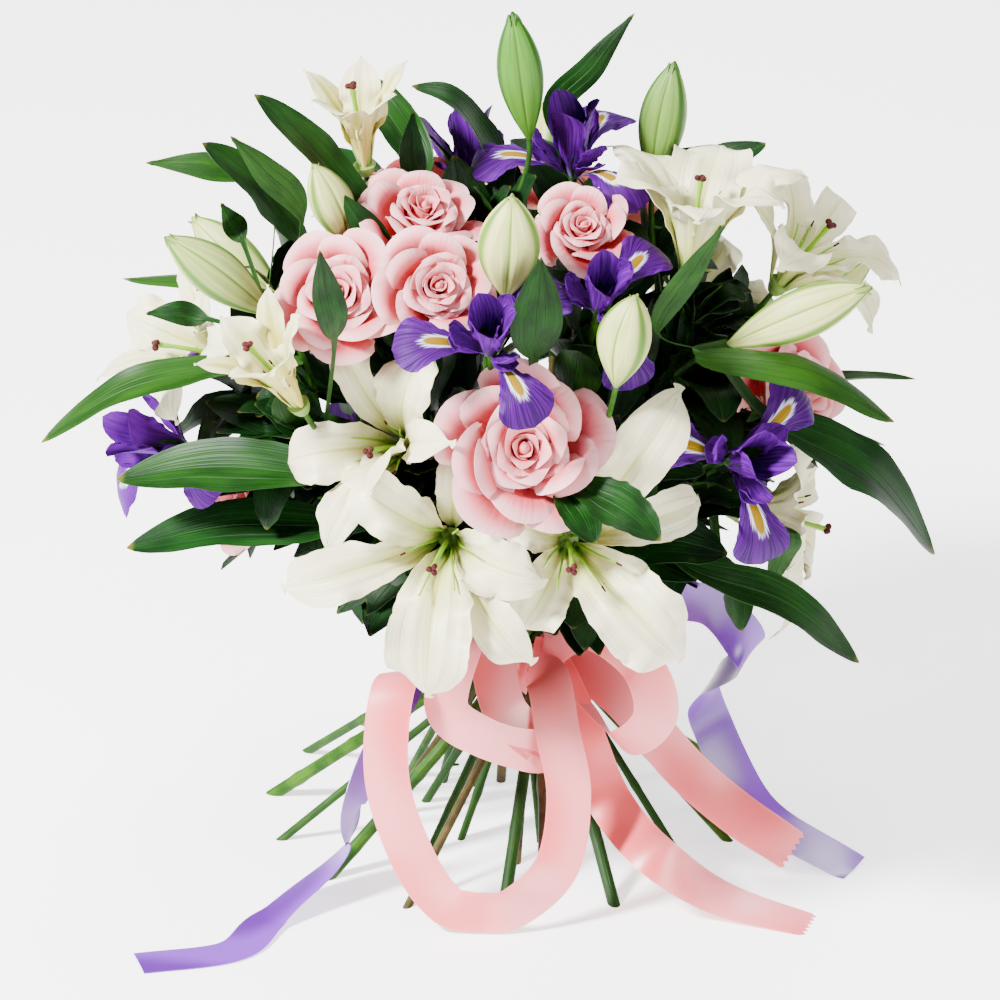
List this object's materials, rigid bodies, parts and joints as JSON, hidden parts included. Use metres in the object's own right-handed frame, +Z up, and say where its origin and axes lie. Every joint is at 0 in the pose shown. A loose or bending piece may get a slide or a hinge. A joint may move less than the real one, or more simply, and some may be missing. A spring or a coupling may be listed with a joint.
{
  "type": "flower bouquet",
  "caption": "Hand-tied bouquet of white lilies, blush roses and violet irises with leaves and satin ribbons, standing on its spiralled, level-cut stems.",
  "frame": {"origin": "on the floor under the middle of the bouquet's bounding box", "axes": "+Z up along the bundle of stems, -Y towards the bouquet's face with the two large lilies, +X to that face's right"},
  "size_m": [0.4987, 0.4074, 0.505],
  "materials": {
    "lily": "satin",
    "rose": "matte",
    "iris": "satin",
    "stem": "satin",
    "pink_satin": "satin",
    "lilac_satin": "satin"
  },
  "bodies": {
    "root": {"iris_back": "iris", "iris_back_stem": "stem", "iris_back_top": "iris", "iris_back_top_stem": "stem", "iris_front": "iris", "iris_front_stem": "stem", "iris_left": "iris", "iris_left_stem": "stem", "iris_middle": "iris", "iris_middle_stem": "stem", "iris_right": "iris", "iris_right_stem": "stem", "iris_top": "iris", "iris_top_stem": "stem", "lily_back": "lily", "lily_back_right": "lily", "lily_centre_left": "lily", "lily_front_left": "lily", "lily_front_right": "lily", "lily_half_open_left": "lily", "lily_half_open_top": "lily", "lily_left": "lily", "lily_low_right": "lily", "lily_right": "lily", "lily_stem_back": "stem", "lily_stem_front_left": "stem", "lily_stem_front_right": "stem", "lily_stem_left": "stem", "lily_stem_low_right": "stem", "lily_stem_right": "stem", "lily_stem_top": "stem", "lily_top_right": "lily", "ribbon_bow_left": "pink_satin", "ribbon_bow_right": "pink_satin", "ribbon_lilac_left": "lilac_satin", "ribbon_lilac_right": "lilac_satin", "ribbon_loop_left": "pink_satin", "ribbon_loop_right": "pink_satin", "ribbon_tail_back": "pink_satin", "ribbon_tail_front": "pink_satin", "rose_back": "rose", "rose_back_left": "rose", "rose_back_left_stem": "stem", "rose_back_stem": "stem", "rose_front": "rose", "rose_front_stem": "stem", "rose_left": "rose", "rose_left_stem": "stem", "rose_right": "rose", "rose_right_stem": "stem", "rose_small": "rose", "rose_small_stem": "stem", "rose_top": "rose", "rose_top_left": "rose", "rose_top_left_stem": "stem", "rose_top_middle": "rose", "rose_top_middle_stem": "stem", "rose_top_stem": "stem", "tie": "pink_satin"}
  },
  "joints": []
}
